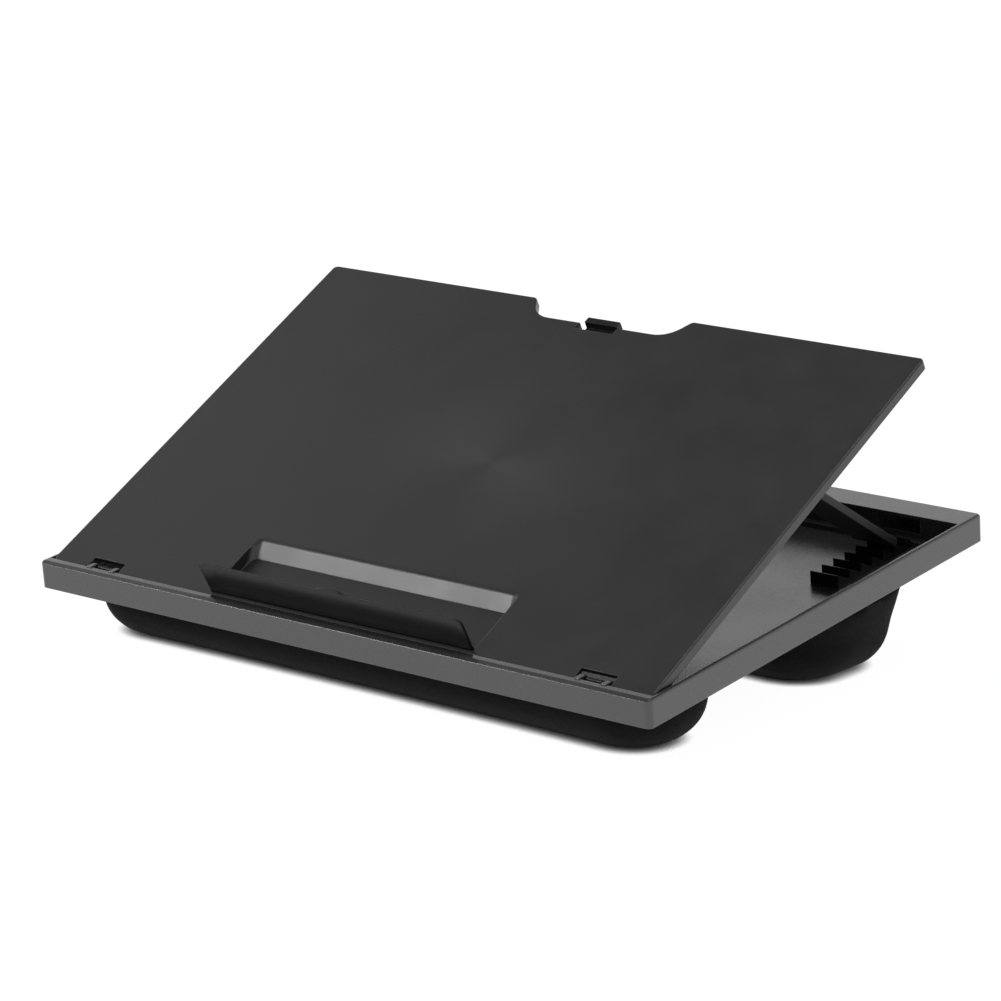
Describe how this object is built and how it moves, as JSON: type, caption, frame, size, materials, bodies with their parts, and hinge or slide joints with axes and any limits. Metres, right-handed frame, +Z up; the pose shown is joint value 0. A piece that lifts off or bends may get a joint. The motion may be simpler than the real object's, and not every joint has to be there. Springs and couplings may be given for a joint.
{
  "type": "cushioned lap tray with tilting top",
  "caption": "Lap tray on fabric cushions with a hinged top panel on a folding prop and tooth racks, a flip-up ledge and a latch tab.",
  "frame": {"origin": "middle of the object's footprint, on the surface it stands on", "axes": "+X to the right seen from the user, +Y away from the user, +Z up"},
  "size_m": [0.514, 0.3807, 0.2106],
  "materials": {
    "tray_plastic": "fine moulded texture, satin, dark grey",
    "panel_plastic": "satin black with faint round sheen",
    "ledge_plastic": "satin black",
    "prop_plastic": "satin black",
    "pin_steel": "blackened",
    "cushion_fabric": "black felted knit",
    "cushion_foam": "open foam",
    "cushion_board": "plain hardboard"
  },
  "bodies": {
    "tray": {"tray_shell": "tray_plastic", "rack_left": "prop_plastic", "rack_right": "prop_plastic", "rack_screws": "pin_steel", "cushion_screws": "pin_steel", "front_cushion_cover": "cushion_fabric", "front_cushion_foam": "cushion_foam", "front_cushion_board": "cushion_board", "rear_cushion_cover": "cushion_fabric", "rear_cushion_foam": "cushion_foam", "rear_cushion_board": "cushion_board"},
    "panel": {"top_panel": "panel_plastic", "latch_pin": "pin_steel", "hinge_pin_left": "pin_steel", "hinge_pin_right": "pin_steel", "ledge_pin_left": "pin_steel", "ledge_pin_right": "pin_steel", "prop_pin_left": "pin_steel", "prop_pin_right": "pin_steel"},
    "prop": {"prop_frame": "prop_plastic"},
    "ledge": {"ledge_flap": "ledge_plastic"},
    "latch": {"panel_latch": "ledge_plastic"}
  },
  "joints": [
    {"name": "panel_tilt", "type": "hinge", "parent": "tray", "child": "panel", "pos_m": [0, -0.17609, 0.05101], "axis": [1, 0, 0], "range_deg": [-22, 10]},
    {"name": "prop_swing", "type": "hinge", "parent": "panel", "child": "prop", "pos_m": [0, 0.01041, 0.14677], "axis": [1, 0, 0], "range_deg": [-26.6, 57.9]},
    {"name": "ledge_flip", "type": "hinge", "parent": "panel", "child": "ledge", "pos_m": [0, -0.17437, 0.05205], "axis": [1, 0, 0], "range_deg": [-92, 0]},
    {"name": "latch_press", "type": "hinge", "parent": "panel", "child": "latch", "pos_m": [0, 0.09104, 0.19087], "axis": [1, 0, 0], "range_deg": [-8, 0], "stiffness_Nm_per_rad": 0.1, "springref_deg": 5.73}
  ],
  "couplings": [
    {"joint": "prop_swing", "follows": "panel_tilt", "ratio": -2.6087}
  ]
}
